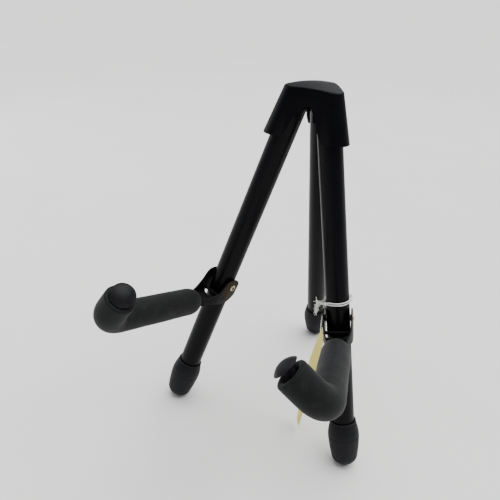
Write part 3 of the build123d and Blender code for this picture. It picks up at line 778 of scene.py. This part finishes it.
def strands(name, route, thick, plies, pitch):      # twisted plies along a route, or one plain fibre
    line = evenly(smoothLine(route), string["gap"])
    curve = bpy.data.curves.new(name, "CURVE")
    curve.dimensions = "3D"
    curve.bevel_depth = thick * (string["plyHalf"] if plies > 1 else 0.5)
    curve.bevel_resolution = 1
    curve.use_fill_caps = True
    side = (line[1] - line[0]).orthogonal().normalized()
    frames = []
    for i, place in enumerate(line):
        ahead = (line[min(i + 1, len(line) - 1)] - line[max(i - 1, 0)]).normalized()
        side = (side - ahead * side.dot(ahead)).normalized()
        frames.append((place, side, ahead.cross(side)))
    for ply in range(plies):
        spline = curve.splines.new("POLY")
        spline.points.add(len(frames) - 1)
        for i, (place, a, b) in enumerate(frames):
            turn = 2 * pi * (ply / plies + i * string["gap"] / pitch)
            out = thick * (string["plyOut"] if plies > 1 else 0)
            spline.points[i].co = (*(place + (a * cos(turn) + b * sin(turn)) * out), 1)
    piece = bpy.data.objects.new(name, curve)
    bpy.context.scene.collection.objects.link(piece)
    onlySelect(piece)
    bpy.ops.object.convert(target="MESH")
    return bpy.context.object


def overhand(place, size, tilt):        # an overhand knot's own line
    turned = Matrix.Rotation(tilt[0], 3, "X") @ Matrix.Rotation(tilt[1], 3, "Z")
    points = []
    for step in range(string["loopSteps"] + 1):
        t = 2 * pi * step / string["loopSteps"]
        spot = Vector((sin(t) + 2 * sin(2 * t), cos(t) - 2 * cos(2 * t), -1.3 * sin(3 * t)))
        points.append(place + turned @ spot * size / 3)
    return points


tag = {
    "top": Vector((0.0566, -0.0416, 0.1469)), "middle": Vector((0.0508, -0.0452, 0.088)),
    "bottom": Vector((0.0461, -0.054, 0.007)), "back": Vector((0, 0.0378, 0)),
    "width": 0.0145, "thick": 0.00045, "cells": (12, 130), "eyelet": 0.9, "hole": 0.00125,
    "facing": -34.2, "twistUp": 33, "twistDown": 27.4, "twistPower": 1.5, "curl": 0.0006, "ripple": 0.0004,
    "stretch": 1.035, "shift": 0.035, "shoulder": 0.07, "corner": 0.5,
}


def tagSpot(share):                     # the card's centre and the way across it, from -1 at its foot to 1
    sway = (tag["top"] + tag["bottom"]) / 2 - tag["middle"]
    centre = tag["middle"] + (tag["top"] - tag["bottom"]) * (share / 2) + sway * share ** 2
    twist = tag["twistUp"] if share > 0 else tag["twistDown"]
    facing = radians(tag["facing"] - twist * abs(share) ** tag["twistPower"])
    return centre + tag["back"], Vector((cos(facing), sin(facing), 0))


def makeString():
    knot = onLeg(*string["knot"])
    bearing = atan2(string["knot"][1], string["knot"][0])
    route = [knot + legUp * string["startUp"]]
    for lift, back in zip(string["turns"], string["backUp"]):
        for step in range(string["turnSteps"] + 1):
            sweep = (360 - 2 * string["sides"]) * step / string["turnSteps"]
            angle = bearing + radians(string["sides"] + sweep)
            fromSlack = angle - string["slackAt"]
            loose = hump(atan2(sin(fromSlack), cos(fromSlack)) / string["slackSpread"])
            r = string["ring"] + string["clear"] + string["slack"] * loose
            up = lift + string["rise"] * loose + string["wobble"] * sin(3 * angle)
            route.append(onLeg(r * cos(angle), r * sin(angle), up))
        route.append(knot + legUp * back)
    parts = [strands("wrap", route, **string["wrap"])]
    for n, (size, tilt) in enumerate(string["loops"]):
        loop = overhand(knot - legUp * string["loopDrop"] * n, size, tilt)
        parts.append(strands("knot%d" % n, loop, **string["loop"]))
    eye, across = tagSpot(tag["eyelet"])
    through = Vector((0, 0, 1)).cross(across)
    hang = [onLeg(*spot) for spot in string["hangFrom"]]
    hang += [eye - through * back + Vector((0, 0, lift)) for back, lift in string["hangTo"]]
    hang += [eye, eye + through * string["hangPast"]]
    parts.append(strands("hang", hang, **string["hang"]))
    parts.append(strands("stopKnot", overhand(hang[-1], *string["stopLoop"]), **string["stop"]))
    for tail, length, fibres in string["tails"]:
        way = Vector(tail).normalized()
        end = knot + way * length
        bow = Vector((random.uniform(-1, 1), random.uniform(-1, 1), 0)) * 0.0008
        parts.append(strands("tail", [knot, knot + way * length * 0.5 + bow, end], **string["tail"]))
        for _ in range(fibres):         # the cut end has come apart
            spread = Vector([random.gauss(0, 1) for _ in range(3)]) * string["spread"]
            reach = random.uniform(*string["fibreReach"])
            first = knot + way * length * random.uniform(0.25, 0.9) + spread * 0.0008
            halfWay = first + way * reach * 0.5 + spread * 0.0007
            last = first + (way + spread * 0.6) * reach - Vector((0, 0, string["fibreDrop"]))
            thick = random.uniform(*string["fibreThick"])
            parts.append(strands("fibre", [first, halfWay, last], thick, 1, 1.0))
    clearSelection()
    for part in parts:
        part.select_set(True)
    bpy.context.view_layer.objects.active = parts[0]
    bpy.ops.object.join()
    piece = bpy.context.object
    piece.name = "tiedString"
    settle(piece)
    bpy.ops.object.shade_smooth()
    giveFinish(piece, "string", "shop_tag", "tie_string")


makeString()
print("string tied")


# card tag
def makeTag():
    clearSelection()
    bpy.ops.mesh.primitive_grid_add(x_subdivisions=tag["cells"][0], y_subdivisions=tag["cells"][1], size=2)
    piece = bpy.context.object
    piece.name = "cardTag"
    for vert in piece.data.vertices:
        share = vert.co.y * tag["stretch"] + tag["shift"]
        narrow = 1.0 - max(0.0, share - 1.0) / tag["shoulder"] * tag["corner"]
        centre, across = tagSpot(share)
        face = Vector((0, 0, 1)).cross(across)
        ripple = tag["ripple"] * noise.noise(Vector((vert.co.x, share * 4, 2)))
        curl = tag["curl"] * (vert.co.x ** 2 - 0.4) + ripple
        vert.co = centre + across * vert.co.x * narrow * tag["width"] / 2 + face * curl
    thicken = piece.modifiers.new("card", "SOLIDIFY")
    thicken.thickness = tag["thick"]
    thicken.offset = 0
    eye, across = tagSpot(tag["eyelet"])
    through = Vector((0, 0, 1)).cross(across)
    clearSelection()
    bpy.ops.mesh.primitive_cylinder_add(vertices=32, radius=tag["hole"], depth=0.006)
    punch = bpy.context.object
    punch.matrix_world = placeMatrix(eye, across, through)
    cut = piece.modifiers.new("hole", "BOOLEAN")
    cut.object = punch
    cut.operation = "DIFFERENCE"
    bpy.context.view_layer.update()
    applyAll(piece)
    bpy.data.objects.remove(punch)
    settle(piece)
    bpy.ops.object.shade_smooth_by_angle(angle=radians(30))
    giveFinish(piece, "card", "shop_tag", "paper_tag")


makeTag()
print("tag made")


# floor and light
studio = {
    "floor": 300.0, "drop": -0.0002, "aim": Vector((0, 0, 0.15)),
    "sky": (0.62, 0.63, 0.64), "skyStrength": 0.62,
    "sun": {"way": (-14, 8), "strength": 4.8, "spread": 75, "tint": (1.0, 1.0, 0.985)},
    "lamps": [
        {"name": "backSoft", "place": (0.1, 1.9, 1.5), "size": 1.6, "power": 4, "tint": (1, 1, 1)},
        {"name": "leftFill", "place": (-1.7, 0.2, 0.9), "size": 1.1, "power": 6, "tint": (0.97, 0.985, 1.0)},
    ],
}


def makeStudio():
    clearSelection()
    bpy.ops.mesh.primitive_plane_add(size=studio["floor"], location=(0, 0, studio["drop"]))
    ground = bpy.context.object
    ground.name = "studioFloor"
    ground.data.materials.append(finishes["floor"])
    for lamp in studio["lamps"]:
        clearSelection()
        bpy.ops.object.light_add(type="AREA", location=lamp["place"])
        light = bpy.context.object
        light.name = lamp["name"]
        light.data.shape = "DISK"
        light.data.size = lamp["size"]
        light.data.energy = lamp["power"]
        light.data.color = lamp["tint"]
        light.rotation_euler = (studio["aim"] - Vector(lamp["place"])).to_track_quat("-Z", "Y").to_euler()
    clearSelection()
    bpy.ops.object.light_add(type="SUN", location=(0, 0, 2))
    sun = bpy.context.object
    sun.name = "wideSoftLight"
    sun.data.energy = studio["sun"]["strength"]
    sun.data.angle = radians(studio["sun"]["spread"])
    sun.data.color = studio["sun"]["tint"]
    sun.rotation_euler = [radians(turn) for turn in (*studio["sun"]["way"], 0)]
    world = bpy.data.worlds.new("paleRoom")
    world.use_nodes = True
    back = world.node_tree.nodes["Background"]
    back.inputs["Color"].default_value = (*studio["sky"], 1)
    back.inputs["Strength"].default_value = studio["skyStrength"]
    bpy.context.scene.world = world


makeStudio()
print("studio lit")
